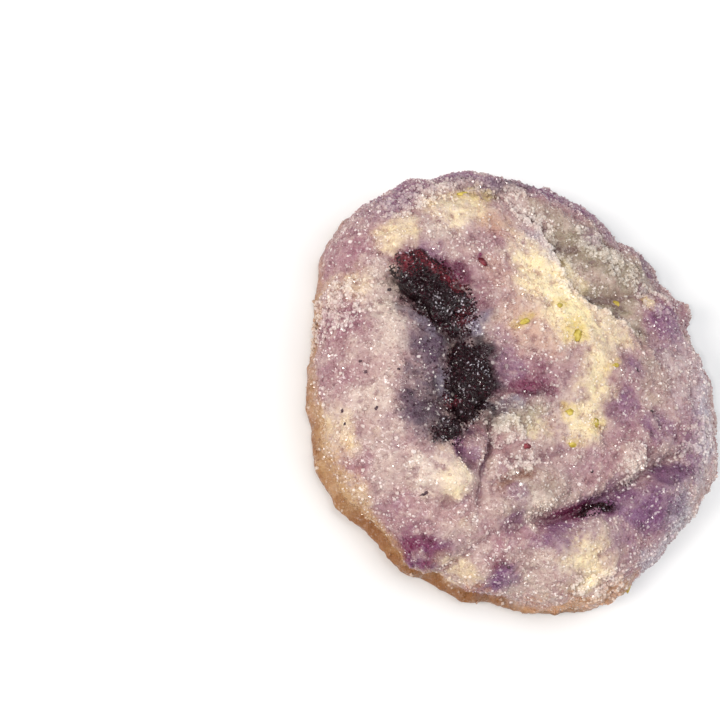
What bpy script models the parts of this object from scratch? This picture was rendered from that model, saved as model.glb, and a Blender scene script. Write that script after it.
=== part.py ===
"""A soft lemon blueberry cookie, domed and craggy, with burst berries sunk into its top.

The dough is one solid: a domed section swept round an uneven rim, pushed out and in by
named lumps, grooves and a ledge. Its baked foot is flat and rests on z = 0, with the origin
in the middle of its box. Coarse sugar and lemon zest are fused to the dough. Each blueberry
is a solid of its own in a socket that clears it.
"""

import functools
import math
import random

import bmesh
import bpy
import numpy as np
from mathutils import Euler, Matrix, Vector, noise

MM = 0.001

# The whole cookie. The widest way is a direction in plan, in degrees, and the crown is where the
# middle of the dome lies in the plan that all the places below are given in.
LONG_WIDTH = 82.6 * MM
SHORT_WIDTH = 77.4 * MM
LONG_WAY = 122
CROWN = (1.6 * MM, 2.2 * MM)
DOME_HEIGHT = 20.0 * MM
WAIST_HEIGHT = 6.0 * MM

MEAN_RADIUS = (LONG_WIDTH + SHORT_WIDTH) / 4

# The section: how square the dome's shoulder is, the crease above the foot and the foot's lip,
# which stand out most to the front
SHOULDER_OUT = 0.80
SHOULDER_UP = 0.90
CREASE_HEIGHT = 4.0 * MM
CREASE_REACH = 1.0 * MM
CREASE_DEPTH = 0.6 * MM
LIP_HEIGHT = 1.9 * MM
LIP_REACH = 1.3 * MM
LIP_OUT = 1.1 * MM
FRONT_WAY = 235
FRONT_SPREAD = 60
FOOT_ROUND = 1.2 * MM

# Bulges and bites of the rim: direction and spread in degrees, then reach in mm
RIM_LOBES = {
    "right_bulge": (-14, 13, 2.1),
    "right_notch": (18, 5, -1.3),
    "right_knob": (31, 6, 1.5),
    "upper_right_bulge": (44, 8, 1.1),
    "upper_right_notch": (56, 3, -0.8),
    "top_bulge": (108, 6, 0.7),
    "upper_left_bulge": (136, 16, 1.9),
    "left_hollow": (172, 13, -1.6),
    "lower_left_bulge": (210, 12, 2.1),
    "lower_left_notch": (230, 5, -0.6),
    "bottom_left_bulge": (240, 5, 0.7),
    "bottom_left_hollow": (264, 10, -1.0),
    "bottom_bulge": (290, 6, 0.9),
    "bottom_right_hollow": (313, 10, -0.9),
}
RIM_WAVER_SIZE = 6.0 * MM
RIM_WAVER = 0.7 * MM

# Lumps of the dough: x, y, half-length, half-width and turn in degrees, then rise, in mm.
# The last figure is how square the lump's shoulder is: 1 is a soft swell.
LUMPS = {
    "left_swell": (-30, 1, 15, 11, 75, 0.9, 1),
    "upper_left_swell": (-19, 28, 13, 8, 40, 0.6, 1),
    "cream_lump": (-9, 31, 7.5, 5.5, 10, 0.8, 1),
    "plateau": (6, 7, 16, 11, -50, 1.0, 1),
    "plateau_tongue": (8, -6, 8, 6, 60, 0.7, 1),
    "sugared_lump": (-6.8, -10.8, 4.2, 3.6, 0, 1.2, 1),
    "knob_by_berry": (-12.9, -14.3, 2.6, 3.3, 0, 1.7, 2),
    "pale_lump": (-16, -20.2, 4.4, 3.9, 0, 2.0, 1),
    "small_pale_lump": (-20.5, -19.4, 2.8, 2.6, 0, 1.1, 1),
    "middle_lump": (-1, -20.2, 6.5, 4.8, 10, 1.6, 2),
    "low_swell": (5, -13.0, 9, 4.5, 20, 0.7, 1),
    "pale_knob": (18, -13.2, 3.6, 4.2, 0, 1.7, 2),
    "right_swell": (27, -1, 9, 6.5, 80, 0.9, 1),
    "lower_right_swell": (27.5, -17.5, 9, 7, 35, 1.1, 1),
    "bottom_lump": (10.5, -31, 12.5, 8, 15, 1.5, 2),
    "bottom_left_lump": (-20.5, -29, 9, 6, -40, 0.9, 1),
    "bottom_swell": (-7, -33, 8, 5, -8, 0.8, 1),
    "slab": (9.5, 32.5, 9, 5, -25, 1.3, 2),
    "shelf": (18, 24.5, 10, 6, -42, 1.7, 2),
    "shelf_corner": (27, 16, 8, 6.5, -60, 1.1, 2),
    "rim_knob": (37.5, 20.5, 3.8, 3.4, 30, 1.3, 2),
    "right_crag": (32.5, 7.5, 5.5, 4.5, 80, 0.8, 2),
    "far_right_crag": (35, -6, 5, 4, 100, 0.6, 2),
    "pit_left_wall": (-23.5, -7.5, 7, 4.5, 60, 0.7, 1),
}

# Grooves: the points they pass through, x and y, then half-width and depth, in mm
GROOVES = {
    "berry_trough": (((-27, 18), (-19, 12.5), (-14.5, 4), (-13.2, -3), (-16, -11)), 5.6, 3.2),
    "knob_right_crack": (((-9.4, -9), (-9.8, -14), (-11, -18.5), (-11.2, -25)), 1.0, 2.0),
    "knob_left_crack": (((-16.2, -11), (-15.4, -15), (-12.4, -17.8)), 0.9, 1.7),
    "fold": (
        ((-5, -26.8), (3, -25.6), (7, -24.2), (13.5, -21), (19.5, -17.2), (25.5, -13.2), (34, -8.6)),
        1.9,
        3.6,
    ),
    "slab_valley": (((5, 26.5), (11, 28), (20, 30.5)), 1.5, 1.3),
    "shelf_valley": (((10.5, 17.5), (16, 18.5), (22.6, 20.0), (34, 24.5)), 1.6, 1.5),
    "under_plateau": (((-7, -15.8), (-1, -15.2), (5, -12.8)), 1.6, 1.0),
    "right_crack": (((23, -2.5), (24.8, -7)), 0.8, 0.7),
    "top_hollow": (((-9, 37), (-2, 33.5), (2, 31)), 2.2, 0.9),
    "bottom_crease": (((-14, -33.5), (-8, -28.5), (-3, -27.5)), 1.3, 0.8),
    "left_crease": (((-33, -12), (-28, -20), (-25, -27)), 2.0, 0.5),
}

# The ledge: the dough drops on the far side of this line, and climbs back towards the rim
LEDGE_LINE = (
    (-1, 33),
    (2.6, 28.5),
    (4.4, 24),
    (5.6, 20.4),
    (9.8, 16),
    (15.6, 13.6),
    (19.4, 11.4),
    (21.4, 7.5),
)
LEDGE_DROP = 3.4 * MM
LEDGE_STEP = 0.8 * MM
LEDGE_FADE = 4.5 * MM
LEDGE_RECOVERS_OVER = 16 * MM

# Relief all over the dough: size of its features and how far they stand
SWELL_SIZE = 10 * MM
SWELL_RISE = 0.9 * MM
CRAG_SIZE = 5.0 * MM
CRAG_RISE = 0.75 * MM
CRUMB_SIZE = 2.6 * MM
CRUMB_RISE = 0.5 * MM

# Blueberries: x, y and how far the middle lies under the dome, then half-length, half-width and
# half-height, and turn in degrees. Lobes pull a berry out to one side: x and y of the direction,
# and how far.
BERRIES = {
    "blueberry_burst": {
        "place": (-19.2, 13.7),
        "under": 2.6,
        "half": (8.3, 4.5, 3.0),
        "turn": -43,
        "lobes": ((4.6, -3.4, 0.3), (-4.9, 2.9, 0.72)),
    },
    "blueberry_whole": {
        "place": (-13.6, -2.1),
        "under": 3.0,
        "half": (6.7, 3.8, 3.8),
        "turn": 87,
        "lobes": (),
    },
    "blueberry_small": {
        "place": (-17.2, -11.8),
        "under": 2.3,
        "half": (3.2, 2.3, 2.2),
        "turn": 20,
        "lobes": (),
    },
    "blueberry_in_fold": {
        "place": (12.1, -22.1),
        "under": 2.8,
        "half": (3.5, 0.9, 2.1),
        "turn": 25,
        "lobes": (),
    },
}
SAG_SIZE = 4.6 * MM
SAG_SHARE = 0.5
WRINKLE_SIZE = 2.1 * MM
WRINKLE_SHARE = 0.26
SOCKET_GAP = 0.35 * MM

# Coarse sugar fused to the dough, and flecks of lemon zest
SUGAR_GRAINS = 150
SUGAR_LEAST = 0.8 * MM
SUGAR_MOST = 1.25 * MM
SUGAR_APART = 2.2 * MM
SUGAR_SEED = 11
ZEST_FLECKS = (
    (6.8, 8.1, 60),
    (3.4, 13.1, 20),
    (-3.6, 9.6, 25),
    (14.3, 3.2, 10),
    (4.7, -6.3, 0),
    (10.4, -7.7, 30),
    (5.4, -12.0, -10),
    (24.4, 19.7, -30),
    (18.6, 17.7, -40),
    (-12.6, 34.7, 10),
    (22.5, -34.0, 30),
)
ZEST_HALF = (1.0 * MM, 0.55 * MM, 0.35 * MM)

# How finely the dough's sheet is cut: faces along each side of the square it is made from
SHEET_FACES = 48

DOUGH_COLOUR = (0.55, 0.38, 0.36, 1)
BERRY_COLOUR = (0.02, 0.012, 0.03, 1)


def bell(angle, way, spread):
    """A bell round a direction, 1 there: the angle in radians, the other two in degrees."""
    off = np.degrees(np.angle(np.exp(1j * (angle - math.radians(way)))))
    return np.exp(-((off / spread) ** 2))


def rim_radius(angle):
    """The rim's distance from the crown in plan, an oval with bulges and bites."""
    turned = angle - math.radians(LONG_WAY)
    a, b = LONG_WIDTH / 2, SHORT_WIDTH / 2
    radius = a * b / np.hypot(b * np.cos(turned), a * np.sin(turned))
    for way, spread, reach in RIM_LOBES.values():
        radius = radius + reach * MM * bell(angle, way, spread)
    spots = np.stack([a * np.cos(angle), a * np.sin(angle), 0 * angle], -1).reshape(-1, 3)
    waver = np.array([noise.noise(Vector(spot) / RIM_WAVER_SIZE) for spot in spots])
    return radius + RIM_WAVER * waver.reshape(np.shape(angle))


@functools.cache
def section():
    """The section from the crown to the foot, even along its length.

    Each row is the share of the rim's radius, the shares of the foot's rounding, the crease
    and the lip, and the height.
    """
    swing = np.linspace(0, math.pi / 2, 240)
    share = np.sin(swing) ** SHOULDER_OUT
    height = WAIST_HEIGHT + (DOME_HEIGHT - WAIST_HEIGHT) * np.cos(swing) ** SHOULDER_UP
    low = WAIST_HEIGHT * (1 - np.linspace(0, 1, 120)[1:])
    foot = 1 - np.sqrt(1 - np.clip(1 - low / FOOT_ROUND, 0, 1) ** 2)
    crease = np.exp(-(((low - CREASE_HEIGHT) / CREASE_REACH) ** 2))
    lip = np.exp(-(((low - LIP_HEIGHT) / LIP_REACH) ** 2))
    dome = np.stack([share, 0 * share, 0 * share, 0 * share, height], 1)
    side = np.stack([1 + 0 * low, foot, crease, lip, low], 1)
    rows = np.concatenate([dome, side])
    out = rows[:, 0] * MEAN_RADIUS - rows[:, 1] * FOOT_ROUND
    run = np.concatenate([[0], np.cumsum(np.hypot(np.diff(out), np.diff(rows[:, 4])))])
    even = np.linspace(0, run[-1], 600)
    return np.stack([np.interp(even, run, column) for column in rows.T], 1)


def disc_from_square(u, v):
    """Rings and directions for a square sheet laid over a disc, with little stretch."""
    u_leads = np.abs(u) >= np.abs(v)
    lead = np.where(u_leads, u, v)
    follow = np.where(u_leads, v, u)
    ratio = np.divide(follow, lead, out=np.zeros_like(follow), where=lead != 0)
    angle = np.where(u_leads, ratio * math.pi / 4, math.pi / 2 - ratio * math.pi / 4)
    return np.abs(lead), np.where(lead < 0, angle + math.pi, angle)


def smooth_line(points, steps=14):
    """Close points along a smooth curve through the given ones, in metres."""
    knots = np.array(points, float) * MM
    ends = np.vstack([2 * knots[0] - knots[1], knots, 2 * knots[-1] - knots[-2]])
    made = []
    for p0, p1, p2, p3 in zip(ends, ends[1:], ends[2:], ends[3:]):
        t = np.linspace(0, 1, steps, endpoint=False)[:, None]
        bend = 2 * p0 - 5 * p1 + 4 * p2 - p3
        twist = 3 * p1 - p0 - 3 * p2 + p3
        made.append(0.5 * (2 * p1 + (p2 - p0) * t + bend * t**2 + twist * t**3))
    return np.vstack(made + [knots[-1:]])


def line_distance(xy, line):
    """Signed distance of plan points to a line, positive on its left, and the share along it."""
    start, step = line[:-1], np.diff(line, axis=0)
    best = np.full(len(xy), np.inf)
    side = np.ones(len(xy))
    along = np.zeros(len(xy))
    for i, (origin, run) in enumerate(zip(start, step)):
        offset = xy - origin
        t = np.clip(offset @ run / (run @ run), 0, 1)
        gap = offset - t[:, None] * run
        distance = np.hypot(gap[:, 0], gap[:, 1])
        nearer = distance < best
        best = np.where(nearer, distance, best)
        side = np.where(nearer, np.sign(run[0] * offset[:, 1] - run[1] * offset[:, 0]), side)
        along = np.where(nearer, (i + t) / len(step), along)
    return best, side, along


def lump_relief(xy):
    """How far the lumps stand out of the plain dome."""
    rise = np.zeros(len(xy))
    for x, y, length, width, turn, height, square in LUMPS.values():
        c, s = math.cos(math.radians(turn)), math.sin(math.radians(turn))
        dx, dy = xy[:, 0] / MM - x, xy[:, 1] / MM - y
        reach = np.hypot((dx * c + dy * s) / length, (dy * c - dx * s) / width)
        rise += height * MM * np.clip(1 - reach ** (2 * square), 0, 1) ** 2
    return rise


def groove_relief(xy):
    """How far the grooves sink into it, tapering out at both ends."""
    sink = np.zeros(len(xy))
    for points, width, depth in GROOVES.values():
        distance, _, along = line_distance(xy, smooth_line(points))
        ends = np.clip(np.minimum(along, 1 - along) * 6 + 0.35, 0, 1)
        sink -= depth * MM * ends * np.exp(-((distance / (width * MM)) ** 1.6))
    return sink


def ledge_relief(xy):
    """The drop beyond the ledge's line."""
    distance, side, along = line_distance(xy, smooth_line(LEDGE_LINE))
    beyond = np.where(side > 0, distance, -distance)
    step = 1 / (1 + np.exp(-beyond / (LEDGE_STEP / 3)))
    ends = np.clip(np.minimum(along, 1 - along) * 5, 0, 1)
    past_end = np.where((along <= 0) | (along >= 1), distance, 0)
    fade = ends * np.exp(-((past_end / LEDGE_FADE) ** 2))
    return -LEDGE_DROP * fade * step * np.exp(-np.clip(beyond, 0, None) / LEDGE_RECOVERS_OVER)


def crumb_relief(points):
    """Slow swells, crags and small crumbs, from noise at fixed places."""
    relief = []
    for point in points:
        spot = Vector(point)
        swell = SWELL_RISE * noise.noise(spot / SWELL_SIZE)
        crag = CRAG_RISE * noise.noise(spot / CRAG_SIZE)
        relief.append(swell + crag + CRUMB_RISE * noise.noise(spot / CRUMB_SIZE))
    return np.array(relief)


def dough_points(ring, angle):
    """Points of the dough's sheet, from the ring (0 at the crown, 1 at the foot) and the direction."""
    rows = section()
    at = np.linspace(0, 1, len(rows))
    share, foot, crease, lip, height = (np.interp(ring, at, column) for column in rows.T)
    front = bell(angle, FRONT_WAY, FRONT_SPREAD)
    out = share * rim_radius(angle) - foot * FOOT_ROUND + front * (lip * LIP_OUT - crease * CREASE_DEPTH)
    step = 1 / len(rows)
    ahead, behind = np.clip(ring + step, 0, 1), np.clip(ring - step, 0, 1)
    run = (np.interp(ahead, at, rows[:, 0]) - np.interp(behind, at, rows[:, 0])) * MEAN_RADIUS
    fall = np.interp(ahead, at, rows[:, 4]) - np.interp(behind, at, rows[:, 4])
    length = np.hypot(run, fall)
    level, upright = -fall / length, run / length
    ways = np.stack([np.cos(angle), np.sin(angle)], 1)
    plan = ways * out[:, None] + np.array(CROWN)
    base = np.concatenate([plan, height[:, None]], 1)
    normal = np.concatenate([ways * level[:, None], upright[:, None]], 1)
    shaped = lump_relief(plan) + groove_relief(plan) + ledge_relief(plan)
    shaped_held = np.clip(height / CREASE_HEIGHT, 0, 1) ** 2
    crumb_held = np.clip(height / LIP_HEIGHT, 0, 1)
    relief = shaped * shaped_held + crumb_relief(base) * crumb_held
    return base + normal * relief[:, None]


def ring_over(x, y):
    """The ring and direction of the plain dome over a plan point."""
    x, y = x - CROWN[0], y - CROWN[1]
    angle = math.atan2(y, x)
    rows = section()
    dome = rows[: int(np.argmax(rows[:, 0] >= 1))]
    share = math.hypot(x, y) / float(rim_radius(np.array([angle]))[0])
    ring = np.interp(share, dome[:, 0], np.linspace(0, len(dome) / len(rows), len(dome)))
    return float(ring), angle


def dome_height(x, y):
    """Height of the plain dome over a plan point."""
    rows = section()
    return float(np.interp(ring_over(x, y)[0], np.linspace(0, 1, len(rows)), rows[:, 4]))


def material(name, colour, roughness):
    """A plain Principled material, with no metal in it."""
    made = bpy.data.materials.new(name)
    made.use_nodes = True
    shader = made.node_tree.nodes["Principled BSDF"]
    shader.inputs["Base Color"].default_value = colour
    shader.inputs["Roughness"].default_value = roughness
    shader.inputs["Metallic"].default_value = 0
    return made


def add_object(name, mesh, look):
    """Links a named object with its material, shaded smooth."""
    made = bpy.data.objects.new(name, mesh)
    bpy.context.scene.collection.objects.link(made)
    mesh.materials.append(look)
    mesh.shade_smooth()
    return made


def make_dough(look):
    """The dough's upper sheet, laid over the dome and closed by its flat foot."""
    side = np.linspace(-1, 1, SHEET_FACES + 1)
    u, v = (grid.ravel() for grid in np.meshgrid(side, side))
    points = dough_points(*disc_from_square(u, v))
    shape = bmesh.new()
    verts = [shape.verts.new(p) for p in points]
    across = SHEET_FACES + 1
    for row in range(SHEET_FACES):
        for column in range(SHEET_FACES):
            first = row * across + column
            shape.faces.new([verts[first + k] for k in (0, 1, across + 1, across)])
    rim = [edge for edge in shape.edges if edge.is_boundary]
    bmesh.ops.contextual_create(shape, geom=rim)
    bmesh.ops.recalc_face_normals(shape, faces=shape.faces)
    mesh = bpy.data.meshes.new("cookie_dough")
    shape.to_mesh(mesh)
    shape.free()
    return add_object("cookie_dough", mesh, look)


def berry_mesh(name, berry, grow, cuts):
    """A wrinkled, sagging berry; grow makes the larger one that cuts its socket."""
    x, y = (value * MM for value in berry["place"])
    middle = Vector((x, y, dome_height(x, y) - berry["under"] * MM))
    half = Vector(berry["half"]) * MM
    turn = Matrix.Rotation(math.radians(berry["turn"]), 3, "Z")
    shape = bmesh.new()
    bmesh.ops.create_icosphere(shape, subdivisions=cuts, radius=1)
    for vert in shape.verts:
        way = vert.co.normalized()
        spot = turn @ (way * half)
        for lobe_x, lobe_y, share in berry["lobes"]:
            toward = spot.normalized().dot(Vector((lobe_x, lobe_y, 0)).normalized())
            spot *= 1 + 0.22 * share * max(0, toward) ** 3 * (1 - abs(way.z))
        sag = SAG_SHARE * noise.noise((middle + spot) / SAG_SIZE)
        wrinkle = WRINKLE_SHARE * noise.noise((middle + spot) / WRINKLE_SIZE)
        vert.co = middle + spot + (turn @ way) * (grow + half.y * (sag + wrinkle))
    mesh = bpy.data.meshes.new(name)
    shape.to_mesh(mesh)
    shape.free()
    return mesh


def make_berry(name, berry, dough, look):
    """A berry, and its socket cut out of the dough."""
    cuts = 4 if max(berry["half"]) > 5 else 2
    cutter = bpy.data.objects.new(name + "_socket", berry_mesh(name + "_socket", berry, SOCKET_GAP, cuts))
    bpy.context.scene.collection.objects.link(cutter)
    cutter.hide_render = True
    cutter.display_type = "WIRE"
    cut = dough.modifiers.new(name + "_socket", "BOOLEAN")
    cut.operation = "DIFFERENCE"
    cut.solver = "EXACT"
    cut.object = cutter
    return add_object(name, berry_mesh(name, berry, 0, cuts), look)


def near_berry(x, y, spare):
    """Whether a plan point lies over a berry or within spare of it."""
    for berry in BERRIES.values():
        c, s = math.cos(math.radians(berry["turn"])), math.sin(math.radians(berry["turn"]))
        dx, dy = x / MM - berry["place"][0], y / MM - berry["place"][1]
        length, width = berry["half"][0] * 1.25 + spare, berry["half"][1] * 1.25 + spare
        if math.hypot((dx * c + dy * s) / length, (dy * c - dx * s) / width) < 1:
            return True
    return False


def spot_over(ring, angle):
    """The dough's point at one ring and direction."""
    return dough_points(np.array([ring]), np.array([angle]))[0]


def fuse_toppings(dough):
    """Coarse sugar and zest joined to the dough by one union."""
    toppings = bpy.data.collections.new("toppings")
    bpy.context.scene.collection.children.link(toppings)
    draw = random.Random(SUGAR_SEED)
    placed = []
    while len(placed) < SUGAR_GRAINS:
        ring, angle = 0.86 * math.sqrt(draw.random()), draw.uniform(0, 2 * math.pi)
        spot = spot_over(ring, angle)
        size = SUGAR_LEAST + (SUGAR_MOST - SUGAR_LEAST) * draw.random() ** 2
        turn = Euler([draw.uniform(0, math.pi) for _ in range(3)]).to_matrix().to_4x4()
        crowded = any(np.linalg.norm(spot - other) < SUGAR_APART for other in placed)
        if crowded or near_berry(spot[0], spot[1], 1.4):
            continue
        placed.append(spot)
        shape = bmesh.new()
        bmesh.ops.create_cube(shape, size=size, matrix=Matrix.Translation(spot) @ turn)
        topping_object(f"sugar_{len(placed)}", shape, toppings)
    for number, (x, y, turn) in enumerate(ZEST_FLECKS):
        place = Matrix.Translation(spot_over(*ring_over(x * MM, y * MM)))
        place = place @ Matrix.Rotation(math.radians(turn), 4, "Z") @ Matrix.Diagonal((*ZEST_HALF, 1))
        shape = bmesh.new()
        bmesh.ops.create_icosphere(shape, subdivisions=1, radius=1, matrix=place)
        topping_object(f"zest_{number}", shape, toppings)
    join = dough.modifiers.new("toppings", "BOOLEAN")
    join.operation = "UNION"
    join.solver = "EXACT"
    join.operand_type = "COLLECTION"
    join.collection = toppings
    graph = bpy.context.evaluated_depsgraph_get()
    joined = bpy.data.meshes.new_from_object(dough.evaluated_get(graph))
    dough.modifiers.clear()
    dough.data = joined
    for obj in list(toppings.objects):
        bpy.data.objects.remove(obj)
    bpy.data.collections.remove(toppings)


def topping_object(name, shape, collection):
    """Links one grain or fleck to the collection that the union reads."""
    mesh = bpy.data.meshes.new(name)
    shape.to_mesh(mesh)
    shape.free()
    collection.objects.link(bpy.data.objects.new(name, mesh))


def main():
    for obj in list(bpy.data.objects):
        bpy.data.objects.remove(obj)
    dough_look = material("dough", DOUGH_COLOUR, 0.7)
    berry_look = material("blueberry", BERRY_COLOUR, 0.3)
    dough = make_dough(dough_look)
    fuse_toppings(dough)
    pieces = [dough] + [make_berry(name, berry, dough, berry_look) for name, berry in BERRIES.items()]
    low, high = (Vector(dough.bound_box[corner]) for corner in (0, 6))
    middle = Vector(((low.x + high.x) / 2, (low.y + high.y) / 2, 0))
    for obj in list(bpy.data.objects):
        obj.location = -middle
    print(len(pieces), "pieces, moved by", tuple(round(value / MM, 2) for value in -middle), "mm")


main()
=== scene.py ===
# A lemon blueberry cookie with a sugared, craggy top, on a pale floor.
import math

import bmesh
import bpy
import numpy as np
from mathutils import Matrix, Vector, noise


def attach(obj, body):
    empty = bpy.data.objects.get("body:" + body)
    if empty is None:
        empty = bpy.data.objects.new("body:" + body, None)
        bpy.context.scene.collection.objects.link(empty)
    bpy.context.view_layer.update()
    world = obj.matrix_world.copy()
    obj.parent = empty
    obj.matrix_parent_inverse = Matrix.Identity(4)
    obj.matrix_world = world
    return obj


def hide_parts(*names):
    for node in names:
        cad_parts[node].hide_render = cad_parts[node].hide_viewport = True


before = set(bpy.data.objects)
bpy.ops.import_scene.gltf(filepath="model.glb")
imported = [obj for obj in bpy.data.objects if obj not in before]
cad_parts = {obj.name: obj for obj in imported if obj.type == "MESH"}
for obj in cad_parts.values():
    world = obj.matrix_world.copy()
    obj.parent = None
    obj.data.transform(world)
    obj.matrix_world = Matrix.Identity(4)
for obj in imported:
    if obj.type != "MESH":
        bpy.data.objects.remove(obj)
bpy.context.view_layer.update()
mm = 0.001
floorGap = 0.02  # mm that the base and the lowest grains stay clear of the floor

# Places are given in the plan that the dough was laid out in, which lies this far off the frame's origin
planShift = np.array([-2.68, -2.10, 0.0]) * mm

dough = {
    "longWidth": 82.6,
    "shortWidth": 77.4,
    "longWay": 122,
    "crown": (1.6, 2.2),
    "domeHeight": 20.0,
    "waistHeight": 6.0,
    "shoulderOut": 0.80,
    "shoulderUp": 0.90,
    "creaseHeight": 4.0,
    "creaseReach": 1.0,
    "creaseDepth": 0.6,
    "lipHeight": 1.9,
    "lipReach": 1.3,
    "lipOut": 1.1,
    "frontWay": 235,
    "frontSpread": 60,
    "brownWay": 208,  # where the crust is browned highest up the side
    "brownSpread": 30,
    "bareSpread": 50,  # how wide the front is browned and bare of sugar
    "footRound": 1.2,
    "rimWaverSize": 6.0,
    "rimWaver": 0.7,
    "swellSize": 10.0,
    "swellRise": 0.9,
    "cragSize": 5.0,
    "cragRise": 0.75,
    "crumbSize": 2.6,
    "crumbRise": 0.5,
    "grainSize": 1.25,  # relief finer than the solid carries
    "grainRise": 0.3,
    "pitSize": 0.62,
    "pitRise": 0.17,
    "crustSize": 1.5,  # lumps of caked sugar
    "crustRise": 0.8,
    "ledgeDrop": 3.4,
    "ledgeStep": 0.8,
    "ledgeFade": 4.5,
    "ledgeRecoversOver": 16.0,
    "sheetFaces": 300,
    "hollowSteps": (2, 4),  # how many faces away a hollow's surroundings are taken
    "hollowFade": 4,  # height above the waist over which the hollows come in
}

# Bulges and bites of the rim: direction and spread in degrees, reach in mm
rimLobes = {
    "rightBulge": (-14, 13, 2.1),
    "rightNotch": (18, 5, -1.3),
    "rightKnob": (31, 6, 1.5),
    "upperRightBulge": (44, 8, 1.1),
    "upperRightNotch": (56, 3, -0.8),
    "topBulge": (108, 6, 0.7),
    "upperLeftBulge": (136, 16, 1.9),
    "leftHollow": (172, 13, -1.6),
    "lowerLeftBulge": (210, 12, 2.1),
    "lowerLeftNotch": (230, 5, -0.6),
    "bottomLeftBulge": (240, 5, 0.7),
    "bottomLeftHollow": (264, 10, -1.0),
    "bottomBulge": (290, 6, 0.9),
    "bottomRightHollow": (313, 10, -0.9),
}

# Lumps: x, y, half-length, half-width, turn in degrees, rise, squareness
lumps = {
    "leftSwell": (-30, 1, 15, 11, 75, 0.9, 1),
    "upperLeftSwell": (-19, 28, 13, 8, 40, 0.6, 1),
    "creamLump": (-9, 31, 7.5, 5.5, 10, 0.8, 1),
    "plateau": (6, 7, 16, 11, -50, 1.0, 1),
    "plateauTongue": (8, -6, 8, 6, 60, 0.7, 1),
    "sugaredLump": (-6.8, -10.8, 4.2, 3.6, 0, 1.2, 1),
    "knobByBerry": (-12.9, -14.3, 2.6, 3.3, 0, 1.7, 2),
    "paleLump": (-16, -20.2, 4.4, 3.9, 0, 2.0, 1),
    "smallPaleLump": (-20.5, -19.4, 2.8, 2.6, 0, 1.1, 1),
    "middleLump": (-1, -20.2, 6.5, 4.8, 10, 1.6, 2),
    "lowSwell": (5, -13.0, 9, 4.5, 20, 0.7, 1),
    "paleKnob": (18, -13.2, 3.6, 4.2, 0, 1.7, 2),
    "rightSwell": (27, -1, 9, 6.5, 80, 0.9, 1),
    "lowerRightSwell": (27.5, -17.5, 9, 7, 35, 1.1, 1),
    "bottomLump": (10.5, -31, 12.5, 8, 15, 1.5, 2),
    "bottomLeftLump": (-20.5, -29, 9, 6, -40, 0.9, 1),
    "bottomSwell": (-7, -33, 8, 5, -8, 0.8, 1),
    "slab": (9.5, 32.5, 9, 5, -25, 1.3, 2),
    "shelf": (18, 24.5, 10, 6, -42, 1.7, 2),
    "shelfCorner": (27, 16, 8, 6.5, -60, 1.1, 2),
    "rimKnob": (37.5, 20.5, 3.8, 3.4, 30, 1.3, 2),
    "rightCrag": (32.5, 7.5, 5.5, 4.5, 80, 0.8, 2),
    "farRightCrag": (35, -6, 5, 4, 100, 0.6, 2),
    "pitLeftWall": (-23.5, -7.5, 7, 4.5, 60, 0.7, 1),
}

# Grooves: points, half-width, depth
grooves = {
    "berryTrough": (((-27, 18), (-19, 12.5), (-14.5, 4), (-13.2, -3), (-16, -11)), 5.6, 3.2),
    "knobRightCrack": (((-9.4, -9), (-9.8, -14), (-11, -18.5), (-11.2, -25)), 1.0, 2.0),
    "knobLeftCrack": (((-16.2, -11), (-15.4, -15), (-12.4, -17.8)), 0.9, 1.7),
    "fold": (
        ((-5, -26.8), (3, -25.6), (7, -24.2), (13.5, -21), (19.5, -17.2), (25.5, -13.2), (34, -8.6)),
        1.9,
        3.6,
    ),
    "slabValley": (((5, 26.5), (11, 28), (20, 30.5)), 1.5, 1.3),
    "shelfValley": (((10.5, 17.5), (16, 18.5), (22.6, 20.0), (34, 24.5)), 1.6, 1.5),
    "underPlateau": (((-7, -15.8), (-1, -15.2), (5, -12.8)), 1.6, 1.0),
    "rightCrack": (((23, -2.5), (24.8, -7)), 0.8, 0.7),
    "topHollow": (((-9, 37), (-2, 33.5), (2, 31)), 2.2, 0.9),
    "bottomCrease": (((-14, -33.5), (-8, -28.5), (-3, -27.5)), 1.3, 0.8),
    "leftCrease": (((-33, -12), (-28, -20), (-25, -27)), 2.0, 0.5),
}

# Where the step across the upper right falls
ledgeLine = (
    (-1, 33), (2.6, 28.5), (4.4, 24), (5.6, 20.4), (9.8, 16), (15.6, 13.6), (19.4, 11.4), (21.4, 7.5)
)


def linear(red, green, blue):  # a colour as a picture shows it, 0 to 255, for a shader
    shares = [value / 255 for value in (red, green, blue)]
    return tuple(s / 12.92 if s < 0.04045 else ((s + 0.055) / 1.055) ** 2.4 for s in shares)


# What the juice, the zest and the oven did to the dough, with painted shade and painted light in some places,
# marked below. Later stains lie over earlier ones.
stainColours = {
    "stone": linear(152, 138, 116),
    "mauve": linear(160, 110, 124),
    "peach": linear(212, 174, 154),
    "haze": linear(204, 198, 208),
    "violet": linear(128, 82, 120),
    "slate": linear(92, 66, 86),
    "ivory": linear(232, 214, 200),
    "butter": linear(255, 236, 188),
    "apricot": linear(198, 146, 102),
    "lemon": linear(222, 194, 108),
    "wine": linear(118, 40, 76),
    "tan": linear(140, 100, 82),
    "ink": linear(44, 16, 26),
    # A paler grey-violet where sugar lies on the juice: partly the sugar, partly a painted sparkle.
    "glitter": linear(140, 128, 146),
    "biscuit": linear(184, 142, 94),
    "toast": linear(146, 92, 42),
}

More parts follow.
